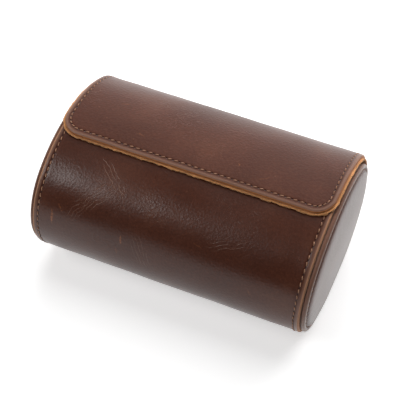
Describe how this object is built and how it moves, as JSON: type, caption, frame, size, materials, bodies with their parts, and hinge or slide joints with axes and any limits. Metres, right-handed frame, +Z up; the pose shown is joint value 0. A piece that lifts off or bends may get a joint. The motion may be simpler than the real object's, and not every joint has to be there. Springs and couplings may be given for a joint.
{
  "type": "watch travel case",
  "caption": "Oval leather-wrapped tube case with a curved hinged flap, padded end panels, and a divider between two wells that each hold a watch pillow.",
  "frame": {"origin": "centre of the flat strip on which the case stands", "axes": "+X along the tube, +Y from the flap's free front edge to its hinge, +Z up"},
  "size_m": [0.1464, 0.0965, 0.0735],
  "materials": {
    "outer_leather": "waxed pull-up leather, satin",
    "facing_leather": "undyed tan leather, fuzzy cut edge",
    "suede_lining": "matte suede",
    "pillow_suede": "matte suede",
    "board": "raw board",
    "magnet": "plain steel",
    "foam": "open-cell foam",
    "thread": "waxed linen thread"
  },
  "bodies": {
    "case_body": {"body_wrap": "outer_leather", "body_former": "board", "body_lining": "suede_lining", "lip_magnets": "magnet", "end_board_right": "board", "end_board_left": "board", "end_lining_right": "suede_lining", "end_lining_left": "suede_lining", "rim_strip_right": "suede_lining", "rim_strip_left": "suede_lining", "end_pad_right": "foam", "end_pad_left": "foam", "end_panel_right": "outer_leather", "end_panel_left": "outer_leather", "end_core_right": "board", "end_core_left": "board", "panel_thread_right": "thread", "panel_thread_left": "thread", "wrap_thread_right": "thread", "wrap_thread_left": "thread", "divider_board": "board", "divider_cover": "suede_lining", "hinge_tail": "outer_leather", "hinge_filler": "facing_leather", "hinge_thread": "thread"},
    "flap": {"flap_thread": "thread", "flap_leather": "outer_leather", "flap_facing": "facing_leather", "flap_lining": "suede_lining", "flap_stiffener": "board", "flap_magnets": "magnet"},
    "pillow_left": {"pillow_core_left": "foam", "pillow_cover_left": "pillow_suede"},
    "pillow_right": {"pillow_core_right": "foam", "pillow_cover_right": "pillow_suede"}
  },
  "joints": [
    {"name": "flap_hinge", "type": "hinge", "parent": "case_body", "child": "flap", "pos_m": [0, 0.04821, 0.04153], "axis": [-1, 0, 0], "range_deg": [0, 120]},
    {"name": "pillow_left_lift", "type": "slide", "parent": "case_body", "child": "pillow_left", "axis": [0, 0, 1], "range_m": [0, 0.014]},
    {"name": "pillow_right_lift", "type": "slide", "parent": "case_body", "child": "pillow_right", "axis": [0, 0, 1], "range_m": [0, 0.014]}
  ]
}
